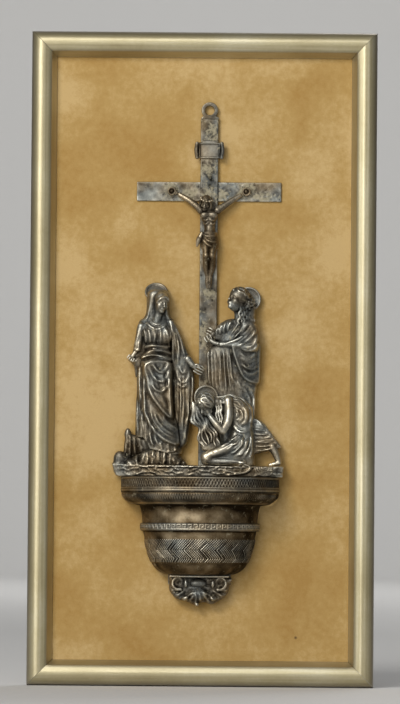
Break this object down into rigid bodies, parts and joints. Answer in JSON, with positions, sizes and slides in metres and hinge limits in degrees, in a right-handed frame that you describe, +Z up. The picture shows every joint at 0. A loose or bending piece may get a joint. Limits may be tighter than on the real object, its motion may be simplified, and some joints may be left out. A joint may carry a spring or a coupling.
{
  "type": "holy water stoup",
  "caption": "Silvered metal wall stoup with a cross, standing and kneeling figures over a half-round water bowl, fixed to a suede panel in a gilt wooden frame.",
  "frame": {"origin": "middle of the bottom rail's underside, in the plane of the suede's face", "axes": "+Z up the frame, +X to the right seen from the front, the front faces -Y"},
  "size_m": [0.2116, 0.0574, 0.3997],
  "materials": {
    "gilt_wood": "pale gold leaf, softly polished",
    "suede": "mottled tan nap",
    "plywood": "plain",
    "hardboard": "plain",
    "silver": "tarnished silver plate, rubbed bright on the high parts",
    "steel": "plain",
    "brass": "dull",
    "rubber": "matt"
  },
  "bodies": {
    "framed_stoup": {"back_board": "hardboard", "back_plate": "silver", "bowl_shell": "silver", "bumper_left": "rubber", "bumper_right": "rubber", "corner_v_nail_bottom": "steel", "corner_v_nail_left": "steel", "corner_v_nail_right": "steel", "corner_v_nail_top": "steel", "corpus": "silver", "cross_beam": "silver", "cross_upright": "silver", "frame_rail_bottom": "gilt_wood", "frame_rail_left": "gilt_wood", "frame_rail_right": "gilt_wood", "frame_rail_top": "gilt_wood", "ground": "silver", "hanger_plate": "brass", "hanger_screw_left": "brass", "hanger_screw_right": "brass", "hanging_loop": "silver", "key_band": "silver", "kneeling_woman": "silver", "kneeling_woman_halo": "silver", "nail_feet": "silver", "nail_hand_left": "silver", "nail_hand_right": "silver", "nut_bowl_left": "brass", "nut_bowl_right": "brass", "nut_cross": "brass", "panel_board": "plywood", "pendant_bracket": "silver", "rim_band": "silver", "standing_man": "silver", "standing_man_halo": "silver", "standing_woman": "silver", "standing_woman_halo": "silver", "stud_bowl_left": "brass", "stud_bowl_right": "brass", "stud_cross": "brass", "suede_cover": "suede", "title_scroll": "silver", "turn_button_screw_left_lower": "brass", "turn_button_screw_left_upper": "brass", "turn_button_screw_right_lower": "brass", "turn_button_screw_right_upper": "brass", "washer_bowl_left": "brass", "washer_bowl_right": "brass", "washer_cross": "brass"},
    "turn_button_left_lower": {"turn_button_left_lower": "brass"},
    "turn_button_left_upper": {"turn_button_left_upper": "brass"},
    "turn_button_right_lower": {"turn_button_right_lower": "brass"},
    "turn_button_right_upper": {"turn_button_right_upper": "brass"},
    "hanger_ring": {"hanger_ring": "brass"}
  },
  "joints": [
    {"name": "turn_button_left_lower_turn", "type": "hinge", "parent": "framed_stoup", "child": "turn_button_left_lower", "pos_m": [-0.101, 0.0106, 0.09], "axis": [0, 1, 0], "range_deg": [-90, 90]},
    {"name": "turn_button_left_upper_turn", "type": "hinge", "parent": "framed_stoup", "child": "turn_button_left_upper", "pos_m": [-0.101, 0.0106, 0.3097], "axis": [0, 1, 0], "range_deg": [-90, 90]},
    {"name": "turn_button_right_lower_turn", "type": "hinge", "parent": "framed_stoup", "child": "turn_button_right_lower", "pos_m": [0.101, 0.0106, 0.09], "axis": [0, 1, 0], "range_deg": [-90, 90]},
    {"name": "turn_button_right_upper_turn", "type": "hinge", "parent": "framed_stoup", "child": "turn_button_right_upper", "pos_m": [0.101, 0.0106, 0.3097], "axis": [0, 1, 0], "range_deg": [-90, 90]},
    {"name": "hanger_ring_swing", "type": "hinge", "parent": "framed_stoup", "child": "hanger_ring", "pos_m": [0, 0.0122, 0.39145], "axis": [1, 0, 0], "range_deg": [0, 170]}
  ]
}
